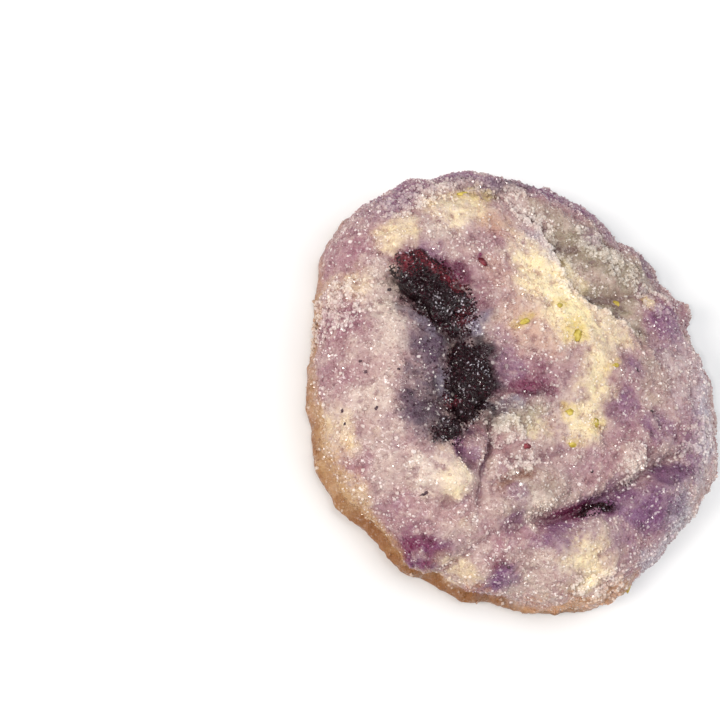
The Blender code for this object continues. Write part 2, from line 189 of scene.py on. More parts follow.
# The places of each stain: x, y, half-length, half-width, turn in degrees and strength
stainPlaces = {
    "stone": {
        # terrace to underRidgeEnd: the grey crust below the step, partly painted shade under the ledge
        "terrace": (12.6, 27, 9, 6.5, -40, 0.85),
        "terraceRight": (20.5, 22, 9, 6.5, -35, 0.85),
        "underRidge": (15.4, 17.8, 7, 3, -20, 0.8),
        "underRidgeEnd": (22.6, 12.6, 4, 3, -60, 0.6),
        "rimRight": (27, 27, 6, 3.5, -50, 0.5),
        "slab": (7, 32, 7, 3.5, -20, 0.6),
        "greyCream": (-5.5, -8.5, 5, 3.2, 10, 0.7),
        "middleLump": (-1, -22, 6, 4, 10, 0.5),
        "bottom": (3, -34, 9, 4, 0, 0.2),
        "right": (26, 4, 6, 6, 0, 0.4),
    },
    "mauve": {
        "left": (-33.4, 8.5, 7.5, 4.6, 80, 0.95),
        "leftLow": (-35.7, -2, 5, 4, 80, 0.5),
        "upperLeft": (-32, 20.8, 7, 4.5, 60, 0.85),
        "upperPink": (-9.3, 26, 5.5, 2.8, 0, 0.7),
        "berrySide": (-10.5, 15, 5, 6, 90, 0.5),
        "plateauLeft": (-4.5, 6, 4, 6.5, 90, 0.3),
        "leftWall": (-30.4, -18.8, 4, 2, -60, 0.9),
        "leftEdge": (-34.0, -7.6, 2.2, 2.6, 0, 0.5),
        "magentaHalo": (-3, 0.5, 7.5, 5, 20, 0.8),
        "rightPatch": (15.3, -3, 3.6, 5.5, 90, 0.9),
        "middleRight": (19, -8, 8, 4.5, 20, 0.6),
        "lowMiddle": (1, -16.5, 8, 4, 15, 0.2),
        "lowRight": (9, -14.5, 7, 4, 20, 0.4),
        "foldTop": (22, -11.0, 4, 3, 28, 0.5),
        "knob": (-12.5, -13, 3, 4, 90, 0.7),
        "lowLeft": (-24.5, -24, 6, 3.5, -45, 0.4),
        "bottom": (-3, -28.3, 7, 3, 10, 0.7),
        "shelf": (27, 15, 7, 4.5, -50, 0.85),
        "rimKnob": (33.5, 18, 4, 4, 0, 0.8),
        "rightSide": (31, 1, 7, 10, 0, 0.55),
        "lowerRight": (24, -28, 8, 5, 30, 0.65),
        "slab": (9, 35.5, 8, 3, -20, 0.5),
    },
    "peach": {
        "plateau": (-1.5, 9, 7, 5, -35, 0.75),
        "plateauLow": (-3, 4.4, 5, 2.6, 0, 0.5),
        "upper": (-6.5, 18, 4.5, 3.5, 0, 0.45),
    },
    "haze": {
        "right": (30, 5, 4, 8, 0, 0.25),
        "ledge": (2.8, 24.6, 3.4, 2.2, -60, 0.5),
        "rightEdge": (35.5, -3, 3.5, 11, 0, 0.65),
        "lowRight": (30.5, -21, 5, 5, 20, 0.8),
        "bottomRight": (27, -28, 5, 3, 40, 0.6),
        "upper": (-0.6, 27.2, 4, 2.6, -30, 0.45),
    },
    "violet": {
        "shelfDark": (28, 13.5, 5, 4, -50, 0.8),
        "rightPatch": (16.4, -3, 3.2, 4.2, 85, 0.65),
        "pitRight": (-5.2, -22, 2.6, 1.6, -30, 0.6),
        "farRight": (32.6, -10.6, 3, 2.4, 60, 0.9),
        "shelfTop": (24.6, 18.6, 3.4, 2, -40, 0.6),
        "rightCrag": (24, -6.5, 3, 4.5, 70, 0.55),
        "belowSlit": (5.6, -27.9, 5.8, 3.0, 14, 0.95),
        "ridgeNotch": (11.4, 4.2, 1.9, 1.7, 0, 0.5),
        "kneeRight": (-10.4, -15, 1.0, 4, 8, 0.4),
        "leftOfSlit": (-4.2, -25.2, 3.4, 1.6, 10, 0.65),
        "aroundWhole": (-6.8, 1.5, 3, 6, 0, 0.6),
        "lowLeftEdge": (-27, -24.5, 4, 2.2, -50, 0.25),
        # foldBand: juice by the fold, partly painted shade in the fold's groove
        "foldBand": (15, -20.5, 14, 3.0, 22, 0.95),
        "bottomLower": (-11.0, -34.2, 3.0, 1.4, -16, 0.25),
        # Painted shade below the slab's step
        "slabStepShade": (14.2, 29.8, 2.4, 1.3, -30, 0.4),
        "rightMiddle": (25.2, 9.6, 2.6, 3.0, 0, 0.4),
        # belowFold and foldRight: partly painted shade under the fold
        "belowFold": (23, -21.4, 8, 4.2, 25, 1.0),
        "foldRight": (28, -14.4, 7.5, 2.8, 28, 0.95),
        "rightLow": (32, -6, 4, 5, 0, 0.5),
        "rightDark": (19.5, 3.4, 2.6, 2.6, 0, 0.6),
        "bottomPurple": (-6.8, -35.6, 4, 2.4, 20, 1.0),
        "bottomLeft": (-18.0, -32.0, 7.5, 2.4, -22, 1.0),
        "bottomRight": (15, -27.5, 3.5, 4, 90, 0.6),
        # rimUpperLeft to rimFarRight: the rim's dark colour, partly painted shade where the far rim faces
        # away from the light
        "rimUpperLeft": (-24, 33.5, 9, 3, 38, 0.75),
        "rimTop": (-9, 39.5, 9, 2.8, 4, 0.8),
        "rimTopRight": (5, 39, 8, 2.6, -8, 0.8),
        "rimRight": (16, 36, 8, 3, -35, 0.7),
        "rimFarRight": (27, 28, 6, 3, -50, 0.5),
        "berryTop": (-20.5, 21.2, 5, 2.2, -25, 0.55),
        "kneeLeft": (-14, -16, 1.6, 4.5, 20, 0.8),
    },
    "slate": {
        # The slope entries: berry juice, and partly painted shade on the trough's wall that faces away from
        # the light
        "slopeUpper": (-20.4, 3.9, 4.1, 4.8, 0, 1.0),
        "slopeMiddle": (-20.2, -2.2, 4.4, 5, 0, 0.85),
        "slopeEdge": (-22.6, -12.8, 2.2, 2.0, 0, 0.7),
        "slopeTop": (-21.4, 6.6, 3.0, 2.2, -40, 0.6),
        # rimTopBlue and rimTopMiddle: partly painted shade on the far rim
        "rimTopBlue": (-9.0, 34.8, 3.4, 1.4, 0, 0.6),
        "rimTopMiddle": (-2.9, 37.6, 2.8, 1.6, 0, 0.8),
        # Juice, and partly painted shade on the trough's wall
        "slopeLower": (-22.0, -8.8, 4, 4.2, 0, 0.95),
        "slopeFoot": (-18, -11.0, 3.8, 2.4, 0, 0.7),
        # Partly painted shade in the fold
        "foldRight": (28, -14.2, 6, 2, 28, 0.4),
        # Partly painted shade on the far rim
        "rimTopLeft": (-9.6, 37.0, 5, 1.8, 0, 0.4),
        "betweenBerries": (-13.2, 8.8, 2.8, 3.6, 0, 0.7),
        "burstSide": (-24.5, 9.5, 3.5, 4, 0, 0.5),
        "bluish": (30, -20.5, 5, 4, 20, 0.2),
        # Partly painted shade on the far rim
        "rimTop": (-2.5, 38.5, 6, 2, 0, 0.5),
    },
    "ivory": {
        "leftPale": (-28.5, 3.5, 4, 6, 0, 0.45),
        "leftLower": (-31, -6.5, 4, 3.5, 0, 0.5),
        "bottomMiddle": (2.4, -34, 4.5, 3, 0, 0.4),
        "lowLeft": (-28, -20, 3, 4, -45, 0.4),
        "rightSide": (30, 5, 4, 8, 0, 0.15),
        "upperRight": (-4, 24, 2.8, 6, 10, 0.5),
        # foldTop: painted light over the end of the fold's groove, where its own shade falls
        "foldTop": (24.5, -11.2, 4, 1.6, 28, 0.2),
        "leftRidge": (-28, 9.5, 3, 5, 20, 0.6),
        "byBurst": (-28.5, 16.5, 2.5, 3.5, 20, 0.6),
        "paleLump": (-16, -19.6, 3.8, 3.2, 0, 0.8),
        "smallPaleLump": (-20.8, -18.9, 2.8, 2.6, 0, 0.8),
        "paleKnob": (17.8, -13.4, 2.6, 3.2, 0, 0.2),
        "lowMiddle": (-0.3, -23.8, 2.6, 2.2, 0, 0.6),
        "upper": (-15, 27, 6, 3, 10, 0.5),
        "ledge": (1.5, 19.5, 7, 2.6, -60, 0.6),
    },
    "butter": {
        "creamTop": (-13.5, 31.0, 6, 4.2, 10, 0.55),
        "leftLow": (-34.6, -11.5, 2.4, 4, 10, 0.5),
        "creamLeft": (-26, 24.5, 4, 3, 20, 0.6),
        "ridgeUpper": (-0.8, 19.6, 7, 4, -65, 0.75),
        "crestUpper": (4.6, 18.6, 5, 2.2, -60, 0.75),
        # crestFoot: the crest's cream, and painted light on the ledge's wall where the step's own shade falls
        "crestFoot": (8.4, 21.6, 6.5, 1.5, -56, 0.7),
        "crestRight": (12.6, 13.4, 6.5, 2.2, -22, 0.5),
        "ridgeMiddle": (6.3, 12.8, 7.5, 5.2, -45, 1.0),
        "ridgeRight": (14.4, 10.2, 5.5, 2.8, -20, 0.5),
        "ridgeLower": (10.8, 1.6, 7, 3.6, 80, 0.85),
        "ridgeFoot": (8, -7.2, 5, 3.6, 60, 0.75),
        "creamMiddle": (-1.2, -9.8, 4, 2.2, 10, 0.4),
        "bottomCream": (9.4, -31, 5.6, 4.2, 5, 0.7),
        "paleLump": (-15.5, -20, 3.4, 2.6, 0, 0.5),
        "bottomOrange": (-13.6, -34.4, 5, 2.2, -12, 0.5),
        "peach": (-32.8, 14.4, 4, 3, 60, 0.4),
        "lowerLeft": (-32.5, -21.0, 8, 1.8, -52, 0.45),
    },
    "apricot": {
        "bottomLeft": (-11.5, -37.4, 8, 2.2, -14, 0.85),
        "leftBottom": (-22.5, -33.2, 4, 1.6, -40, 0.9),
        "leftWall": (-34.5, -17, 8, 2.6, -60, 0.3),
        "bottomEdge": (10, -39.4, 9, 2.6, 4, 1.0),
        "bottomRight": (18.6, -35.6, 6, 2.6, 16, 0.75),
        "upper": (-6, 28.5, 5, 2.5, 0, 0.35),
    },
    "lemon": {
        "byRidge": (6.5, 8.4, 1.9, 1.5, 60, 0.7),
        "ridgeLeft": (3.1, 13.4, 1.7, 1.1, 20, 0.6),
        "plateauLeft": (-3.4, 10.4, 2.1, 1.2, 25, 0.6),
        "rightOfTongue": (14.1, 3.5, 1.6, 1.1, 10, 0.5),
        "tongueLeft": (4.7, -6.0, 1.6, 1.3, 0, 0.6),
        "tongueRight": (9.9, -7.7, 1.7, 1.4, 30, 0.6),
        "tongueFoot": (5.3, -11.8, 1.5, 1.1, -10, 0.5),
        "shelf": (24.4, 17.7, 2.4, 1.4, -60, 0.6),
        "creamTop": (-11.5, 34.4, 5, 1.4, 5, 0.45),
        "bottomRight": (22.5, -34.5, 1.4, 1.0, 30, 0.25),
    },
    "wine": {
        "magenta": (-4.4, -3.0, 3.8, 2.5, 15, 1.0),
        "magentaRight": (-0.2, -2.4, 3.6, 2.6, 10, 0.75),
        "berryTop": (-21.8, 19.8, 4.0, 1.5, -30, 0.95),
        "berryTopRight": (-16.0, 17.8, 3.6, 1.8, -40, 0.95),
        "berryRight": (-12, 13.5, 2.0, 3.4, 30, 0.55),
        "bottomLeft": (-20.4, -30.6, 4.2, 2.1, -26, 0.85),
        "bottomLeftEnd": (-15.8, -31.8, 2.0, 1.2, -24, 0.45),
        "burstTip": (-24.4, 18.6, 2.0, 2.6, 20, 0.6),
        "inFold": (8, -23.2, 6, 1.8, 20, 0.9),
        "bottomMiddle": (-6.2, -32.4, 2.4, 1.4, 40, 0.6),
        "redSpot": (-10.6, 20, 0.8, 0.6, 0, 1.0),
    },
    "tan": {
        "pit": (-4.3, -17.8, 2.2, 1.6, 20, 0.85),
        "pitLow": (-7, -19.9, 2, 1.6, 0, 0.9),
    },
    "ink": {
        "burst": (-18.4, 11.7, 8.2, 6.1, -46, 0.98),
        "whole": (-13.8, -2.1, 8.2, 5.8, 87, 0.97),
        "between": (-15.4, 5.4, 4.0, 3.0, 20, 0.9),
        "wholeRight": (-10.6, 3.8, 2.8, 3.4, 0, 1.0),
        "wholeSide": (-9.8, -1.6, 1.8, 5.0, 0, 0.9),
        "wholeFoot": (-10.6, -7.4, 2.8, 2.4, 0, 1.0),
        "wholeLeft": (-17.8, -4.5, 3.4, 4.8, 0, 0.8),
        "slopeLow": (-20.8, -8.4, 2.6, 3.6, 0, 0.6),
        "pit": (-18.0, -10.9, 3.2, 2.2, 20, 0.95),
        "magenta": (-3.2, -4.4, 2.8, 1.0, 12, 0.6),
        "slit": (12.3, -21.9, 4.6, 0.9, 25, 0.85),
    },
    # Partly sugar on the juice, partly a painted sparkle.
    "glitter": {
        "between": (-11.6, 9.4, 1.9, 2.7, 10, 0.8),
        "burstFoot": (-22.4, 8.0, 4.4, 1.4, -43, 0.4),
        "slope": (-18.8, -2.0, 1.6, 3.4, 0, 0.4),
        "wholeEnd": (-7.0, -6.8, 2.0, 1.4, 0, 0.45),
    },
}

print("cookie: frame loaded")


def bell(angle, way, spread):
    off = np.degrees(np.angle(np.exp(1j * (angle - math.radians(way)))))
    return np.exp(-((off / spread) ** 2))


def noiseAt(points, size):  # points and size in mm
    return np.array([noise.noise(Vector(point)) for point in np.asarray(points) / size])


def rimRadius(angle):
    turned = angle - math.radians(dough["longWay"])
    a, b = dough["longWidth"] / 2, dough["shortWidth"] / 2
    radius = a * b / np.hypot(b * np.cos(turned), a * np.sin(turned))
    for way, spread, reach in rimLobes.values():
        radius = radius + reach * bell(angle, way, spread)
    spots = np.stack([a * np.cos(angle), a * np.sin(angle), 0 * angle], -1)
    return radius + dough["rimWaver"] * noiseAt(spots, dough["rimWaverSize"])


def makeSection():  # share of the rim, shares of the foot's rounding, crease and lip, and height
    swing = np.linspace(0, math.pi / 2, 240)
    waist, dome = dough["waistHeight"], dough["domeHeight"]
    share = np.sin(swing) ** dough["shoulderOut"]
    height = waist + (dome - waist) * np.cos(swing) ** dough["shoulderUp"]
    low = waist * (1 - np.linspace(0, 1, 120)[1:])
    foot = 1 - np.sqrt(1 - np.clip(1 - low / dough["footRound"], 0, 1) ** 2)
    crease = np.exp(-(((low - dough["creaseHeight"]) / dough["creaseReach"]) ** 2))
    lip = np.exp(-(((low - dough["lipHeight"]) / dough["lipReach"]) ** 2))
    top = np.stack([share, 0 * share, 0 * share, 0 * share, height], 1)
    side = np.stack([1 + 0 * low, foot, crease, lip, low], 1)
    rows = np.concatenate([top, side])
    meanRadius = (dough["longWidth"] + dough["shortWidth"]) / 4
    out = rows[:, 0] * meanRadius - rows[:, 1] * dough["footRound"]
    run = np.concatenate([[0], np.cumsum(np.hypot(np.diff(out), np.diff(rows[:, 4])))])
    even = np.linspace(0, run[-1], 600)
    return np.stack([np.interp(even, run, column) for column in rows.T], 1)


section = makeSection()


def discFromSquare(across):  # rings and directions for a square sheet laid over a disc
    side = np.linspace(-1, 1, across + 1)
    u, v = (grid.ravel() for grid in np.meshgrid(side, side))
    uLeads = np.abs(u) >= np.abs(v)
    lead, follow = np.where(uLeads, u, v), np.where(uLeads, v, u)
    ratio = np.divide(follow, lead, out=np.zeros_like(follow), where=lead != 0)
    angle = np.where(uLeads, ratio * math.pi / 4, math.pi / 2 - ratio * math.pi / 4)
    return np.abs(lead), np.where(lead < 0, angle + math.pi, angle)


def smoothLine(points, steps=14):
    knots = np.array(points, float)
    ends = np.vstack([2 * knots[0] - knots[1], knots, 2 * knots[-1] - knots[-2]])
    made = []
    for p0, p1, p2, p3 in zip(ends, ends[1:], ends[2:], ends[3:]):
        t = np.linspace(0, 1, steps, endpoint=False)[:, None]
        bend = 2 * p0 - 5 * p1 + 4 * p2 - p3
        twist = 3 * p1 - p0 - 3 * p2 + p3
        made.append(0.5 * (2 * p1 + (p2 - p0) * t + bend * t**2 + twist * t**3))
    return np.vstack(made + [knots[-1:]])


def lineDistance(xy, line):
    best = np.full(len(xy), np.inf)
    side, along = np.ones(len(xy)), np.zeros(len(xy))
    for i, (origin, run) in enumerate(zip(line[:-1], np.diff(line, axis=0))):
        offset = xy - origin
        t = np.clip(offset @ run / (run @ run), 0, 1)
        distance = np.hypot(*(offset - t[:, None] * run).T)
        nearer = distance < best
        best = np.where(nearer, distance, best)
        side = np.where(nearer, np.sign(run[0] * offset[:, 1] - run[1] * offset[:, 0]), side)
        along = np.where(nearer, (i + t) / (len(line) - 1), along)
    return best, side, along


def ovalReach(xy, x, y, length, width, turn):  # 0 at an oval's middle, 1 on its edge
    c, s = math.cos(math.radians(turn)), math.sin(math.radians(turn))
    dx, dy = xy[:, 0] - x, xy[:, 1] - y
    return np.hypot((dx * c + dy * s) / length, (dy * c - dx * s) / width)


def shapedRelief(xy):
    relief = np.zeros(len(xy))
    for x, y, length, width, turn, rise, square in lumps.values():
        reach = ovalReach(xy, x, y, length, width, turn)
        relief += rise * np.clip(1 - reach ** (2 * square), 0, 1) ** 2
    for points, width, depth in grooves.values():
        distance, _, along = lineDistance(xy, smoothLine(points))
        ends = np.clip(np.minimum(along, 1 - along) * 6 + 0.35, 0, 1)
        relief -= depth * ends * np.exp(-((distance / width) ** 1.6))
    distance, side, along = lineDistance(xy, smoothLine(ledgeLine))
    beyond = np.where(side > 0, distance, -distance)
    step = 1 / (1 + np.exp(-beyond / (dough["ledgeStep"] / 3)))
    ends = np.clip(np.minimum(along, 1 - along) * 5, 0, 1)
    pastEnd = np.where((along <= 0) | (along >= 1), distance, 0)
    fade = ends * np.exp(-((pastEnd / dough["ledgeFade"]) ** 2))
    recovers = np.exp(-np.clip(beyond, 0, None) / dough["ledgeRecoversOver"])
    return relief - dough["ledgeDrop"] * fade * step * recovers


def doughPoints(ring, angle):  # in mm, in the plan the dough was laid out in
    at = np.linspace(0, 1, len(section))
    share, foot, crease, lip, height = (np.interp(ring, at, column) for column in section.T)
    front = bell(angle, dough["frontWay"], dough["frontSpread"])
    out = share * rimRadius(angle) - foot * dough["footRound"]
    out = out + front * (lip * dough["lipOut"] - crease * dough["creaseDepth"])
    step = 1 / len(section)
    ahead, behind = np.clip(ring + step, 0, 1), np.clip(ring - step, 0, 1)
    meanRadius = (dough["longWidth"] + dough["shortWidth"]) / 4
    run = (np.interp(ahead, at, section[:, 0]) - np.interp(behind, at, section[:, 0])) * meanRadius
    fall = np.interp(ahead, at, section[:, 4]) - np.interp(behind, at, section[:, 4])
    length = np.hypot(run, fall)
    ways = np.stack([np.cos(angle), np.sin(angle)], 1)
    plan = ways * out[:, None] + np.array(dough["crown"])
    base = np.concatenate([plan, height[:, None]], 1)
    normal = np.concatenate([ways * (-fall / length)[:, None], (run / length)[:, None]], 1)
    shaped = shapedRelief(plan) * np.clip(height / dough["creaseHeight"], 0, 1) ** 2
    crumb = sum(
        dough[name + "Rise"] * noiseAt(base, dough[name + "Size"])
        for name in ("swell", "crag", "crumb", "grain", "pit")
    )
    caked = np.clip(noiseAt(base, dough["crustSize"]) + 0.2, 0, 1) * ovalsAt(plan, frostSpots)
    relief = shaped + crumb * np.clip(height / dough["lipHeight"], 0, 1) + caked * dough["crustRise"]
    return base + normal * relief[:, None]


def domeHeight(x, y):
    x, y = x - dough["crown"][0], y - dough["crown"][1]
    top = section[: int(np.argmax(section[:, 0] >= 1))]
    share = math.hypot(x, y) / rimRadius(np.array([math.atan2(y, x)]))[0]
    return float(np.interp(share, top[:, 0], top[:, 4]))


def gridFaces(across):
    first = (np.arange(across)[:, None] * (across + 1) + np.arange(across)).ravel()
    return np.stack([first, first + 1, first + across + 2, first + across + 1], 1)


def placed(name, data):  # a new object, in the scene
    made = bpy.data.objects.new(name, data)
    bpy.context.scene.collection.objects.link(made)
    return made


def meshFrom(name, points, faces, smooth):  # points in mm, in the dough's plan
    mesh = bpy.data.meshes.new(name)
    mesh.vertices.add(len(points))
    mesh.vertices.foreach_set("co", (points * mm + planShift).astype(np.float32).ravel())
    mesh.loops.add(faces.size)
    mesh.loops.foreach_set("vertex_index", faces.astype(np.int32).ravel())
    mesh.polygons.add(len(faces))
    mesh.polygons.foreach_set("loop_start", np.arange(0, faces.size, faces.shape[1], dtype=np.int32))
    mesh.update(calc_edges=True)
    mesh.validate()
    mesh.polygons.foreach_set("use_smooth", np.full(len(mesh.polygons), smooth))
    return placed(name, mesh)


def setValues(piece, name, values):
    layer = piece.data.attributes.new(name, "FLOAT", "POINT")
    layer.data.foreach_set("value", np.asarray(values, np.float32))


# How far the stains' edges stray in the plan and up the side
stray = {
    "coarseSize": 4.5,
    "coarse": 2.2,
    "coarseUp": 1.4,
    "fineSize": 1.4,
    "fine": 0.8,
    "fineUp": 0.7,
}

# The browned crust: its height, how much higher it is on its brownest side and in front,
# the height it fades over, its strength and how much stronger it is in front
browning = {
    "biscuit": (3.8, 5.6, 1.0, 3.4, 0.55, 0.4),
    "toast": (2.0, 0.0, 3.2, 2.2, 0.75, 0.25),
}


def wayAround(points):
    return np.arctan2(points[:, 1] - dough["crown"][1], points[:, 0] - dough["crown"][0])


def stainsAt(points):  # how strongly each stain lies at points, in mm
    coarse = np.stack([noiseAt(points + shift, stray["coarseSize"]) for shift in (0, 31.7)], 1)
    fine = np.stack([noiseAt(points + shift, stray["fineSize"]) for shift in (7.3, 53.1)], 1)
    plan = points[:, :2] + stray["coarse"] * coarse + stray["fine"] * fine
    found = {}
    for name, places in stainPlaces.items():
        strength = np.zeros(len(points))
        for *oval, most in places.values():
            reach = ovalReach(plan, *oval)
            fall = np.clip((1.5 - reach) / 1.15, 0, 1)
            strength = np.maximum(strength, most * fall * fall * (3 - 2 * fall))
        found[name] = strength
    front = bell(wayAround(points), dough["frontWay"], dough["bareSpread"])
    brown = bell(wayAround(points), dough["brownWay"], dough["brownSpread"])
    low = points[:, 2] + stray["coarseUp"] * coarse[:, 0] + stray["fineUp"] * fine[:, 0]
    for name, (height, onBrown, inFront, fade, least, more) in browning.items():
        edge = height + onBrown * brown + inFront * front
        found[name] = np.clip((edge - low) / fade, 0, 1) * (least + more * front)
    return found


def hollowsOf(points):  # how far each point of the sheet lies below what is round it, in mm
    grid = points.reshape(dough["sheetFaces"] + 1, dough["sheetFaces"] + 1, 3)
    normals = np.cross(np.gradient(grid, axis=1), np.gradient(grid, axis=0))
    normals /= np.linalg.norm(normals, axis=2)[:, :, None]
    reach = max(dough["hollowSteps"])
    padded = np.pad(grid, ((reach, reach), (reach, reach), (0, 0)), "edge")
    around = np.zeros_like(grid)
    ways = [(0, 1), (0, -1), (1, 0), (-1, 0), (1, 1), (1, -1), (-1, 1), (-1, -1)]
    for step in dough["hollowSteps"]:
        for down, across in ways:
            rows, columns = reach + step * down, reach + step * across
            around += padded[rows : rows + len(grid), columns : columns + len(grid)]
    depth = ((around / (len(ways) * len(dough["hollowSteps"])) - grid) * normals).sum(2)
    depth *= np.clip((grid[:, :, 2] - dough["waistHeight"]) / dough["hollowFade"], 0, 1)
    return depth.ravel(), normals.reshape(-1, 3)


def makeDough():
    across = dough["sheetFaces"]
    points = doughPoints(*discFromSquare(across))
    piece = meshFrom("sugared_dough", points, gridFaces(across), True)
    for name, strength in stainsAt(points).items():
        setValues(piece, name, strength)
    hollows, normals = hollowsOf(points)
    setValues(piece, "hollow", hollows)
    return piece, points, normals, hollows


underside = {
    "faces": 90,
    "overlap": 0.15,  # how far it goes in under the foot's rounding
    "poreSize": 2.2,
    "finePoreSize": 0.9,
    "poreDepth": 0.5,
}


def makeBase():
    across = underside["faces"]
    ring, angle = discFromSquare(across)
    out = ring * (rimRadius(angle) - dough["footRound"] + underside["overlap"])
    plan = np.stack([np.cos(angle) * out, np.sin(angle) * out], 1) + np.array(dough["crown"])
    flat = np.concatenate([plan, 0 * plan[:, :1]], 1)
    fine = noiseAt(flat, underside["finePoreSize"])
    pores = np.clip(noiseAt(flat, underside["poreSize"]) + 0.6 * fine - 0.1, 0, 1)
    flat[:, 2] = floorGap + underside["poreDepth"] * pores * np.clip((1 - ring) * 12, 0, 1)
    return meshFrom("browned_base", flat, gridFaces(across)[:, ::-1], True)


berries = {
    "blueberry_burst": {
        "place": (-19.2, 13.7),
        "under": 2.6,
        "half": (8.3, 4.5, 3.0),
        "turn": -43,
        "lobes": ((4.6, -3.4, 0.3), (-4.9, 2.9, 0.72)),
        "cuts": 6,
    },
    "blueberry_whole": {
        "place": (-13.6, -2.1),
        "under": 3.0,
        "half": (6.7, 3.8, 3.8),
        "turn": 87,
        "cuts": 6,
    },
    "blueberry_small": {
        "place": (-17.2, -11.8),
        "under": 2.3,
        "half": (3.2, 2.3, 2.2),
        "turn": 20,
        "cuts": 5,
    },
    "blueberry_in_fold": {
        "place": (12.1, -22.1),
        "under": 2.8,
        "half": (3.5, 0.9, 2.1),
        "turn": 25,
        "cuts": 5,
    },
}
wrinkles = {
    "lobe": 0.22,  # how far a full lobe stands out, as a share of the berry
    "sagSize": 4.6,
    "sag": 0.5,
    "foldSize": 2.1,
    "fold": 0.26,
    "creaseSize": 1.5,
    "crease": 0.26,
    "puckerSize": 0.7,
    "pucker": 0.16,
}

# Red flesh that shows where a skin tore; and where grains on the dark fruit and beside it are painted pale,
# partly as pale sugar and partly as painted glints
tornSpots = {
    "burstTip": (-25.0, 18.8, 2.6, 2.0, -35, 0.7),
    "burstEdge": (-21.2, 19.0, 3.8, 1.1, -35, 0.85),
    "burstShoulder": (-16.4, 15.9, 3.2, 1.3, -40, 0.95),
    "burstEnd": (-14.0, 9.6, 2.0, 2.0, 0, 0.5),
    "wholeSide": (-17.0, -6.0, 1.0, 1.6, 80, 0.7),
}
glintSpots = {
    "burstTip": (-24.8, 20.8, 1.8, 1.4, -30, 0.9),
    "burst": (-17.6, 11.2, 3.0, 2.0, -40, 0.6),
    "burstLow": (-13.8, 9.6, 2.8, 2.4, -40, 1.0),
    "between": (-11.6, 8.6, 1.8, 2.8, 10, 1.0),
    "whole": (-12.0, -0.6, 1.4, 2.4, 90, 0.9),
    "wholeFoot": (-16.2, -5.2, 1.2, 1.4, 0, 0.8),
    "wholeEnd": (-10.6, -6.8, 1.2, 1.2, 0, 0.5),
    "slope": (-21.0, -2.0, 3.0, 7.0, 5, 0.5),
    "pit": (-18.6, -10.4, 1.2, 0.9, 0, 0.9),
}


def ballShape(cuts):  # points and faces of a ball of radius 1
    ball = bmesh.new()
    bmesh.ops.create_icosphere(ball, subdivisions=cuts, radius=1)
    points = np.array([vert.co.normalized() for vert in ball.verts])
    faces = np.array([[vert.index for vert in face.verts] for face in ball.faces])
    ball.free()
    return points, faces


def makeBerry(name, berry):
    x, y = berry["place"]
    middle = Vector((x, y, domeHeight(x, y) - berry["under"]))
    half = Vector(berry["half"])
    turn = Matrix.Rotation(math.radians(berry["turn"]), 3, "Z")
    ways, faces = ballShape(berry["cuts"])
    points = []
    for way in map(Vector, ways):
        spot = turn @ (way * half)
        for lobeX, lobeY, share in berry.get("lobes", ()):
            toward = spot.normalized().dot(Vector((lobeX, lobeY, 0)).normalized())
            spot *= 1 + wrinkles["lobe"] * share * max(0, toward) ** 3 * (1 - abs(way.z))
        at = middle + spot
        reach = wrinkles["sag"] * noise.noise(at / wrinkles["sagSize"])
        reach += wrinkles["fold"] * noise.noise(at / wrinkles["foldSize"])
        crease = wrinkles["crease"] * (0.4 - 2 * abs(noise.noise(at / wrinkles["creaseSize"])))
        pucker = wrinkles["pucker"] * noise.noise(at / wrinkles["puckerSize"])
        points.append(at + (turn @ way) * (half.y * reach + crease + pucker))
    points = np.array(points)
    piece = meshFrom("skin_of_" + name, points, faces, True)
    setValues(piece, "torn", ovalsAt(points[:, :2], tornSpots))
    return piece, points, faces


draw = np.random.default_rng(7)


def facesOf(points, faces):  # area, middle and normal of each face, from its first three corners
    a, b, c = points[faces[:, 0]], points[faces[:, 1]], points[faces[:, 2]]
    cross = np.cross(b - a, c - a)
    area = np.linalg.norm(cross, axis=1)
    return area, (a + c) / 2, cross / np.maximum(area, 1e-9)[:, None]


def scatter(points, faces, count, weigh):  # random places on a surface, its normals and a corner there
    area, middles, normals = facesOf(points, faces)
    weight = area * weigh(middles, normals)
    chosen = draw.choice(len(faces), count, p=weight / weight.sum())
    share = draw.random((count, 2))
    a, b, c = (points[faces[chosen, i]] for i in range(3))
    spots = a + (b - a) * share[:, :1] + (c - b) * share[:, 1:]
    return spots, normals[chosen], faces[chosen, 0]


def crystals(name, shape, shapeFaces, spots, normals, hollows, sizes, sunk):
    count = len(spots)
    turns = np.linalg.qr(draw.normal(size=(count, 3, 3)))[0]
    stretch = draw.uniform(0.7, 1.3, (count, 1, 3))
    corners = shape[None] * stretch + draw.normal(0, 0.08, (count, *shape.shape))
    corners = np.einsum("nij,nkj->nki", turns, corners) * sizes[:, None, None]
    depth = draw.uniform(*sunk, count)
    places = (spots + normals * (sizes * (0.5 - depth))[:, None])[:, None] + corners
    places[..., 2] = np.maximum(places[..., 2], floorGap)
    faces = (np.arange(count)[:, None, None] * len(shape) + shapeFaces[None]).reshape(-1, shapeFaces.shape[1])
    piece = meshFrom(name, places.reshape(-1, 3), faces, False)
    layers = dict(stainsAt(spots), hollow=hollows, luck=draw.random(count))
    layers["caught"] = ovalsAt(spots[:, :2], glintSpots)
    layers["torn"] = ovalsAt(spots[:, :2], tornSpots)
    for layer, values in layers.items():
        setValues(piece, layer, np.repeat(values, len(shape)))
    return piece


bead = np.array([(1, 0, 0), (-1, 0, 0), (0, 1, 0), (0, -1, 0), (0, 0, 1), (0, 0, -1)]) * 0.55
beadFaces = np.array([(0, 2, 4), (2, 1, 4), (1, 3, 4), (3, 0, 4), (2, 0, 5), (1, 2, 5), (3, 1, 5), (0, 3, 5)])
nub, nubFaces = ballShape(1)
nub = nub * 0.5

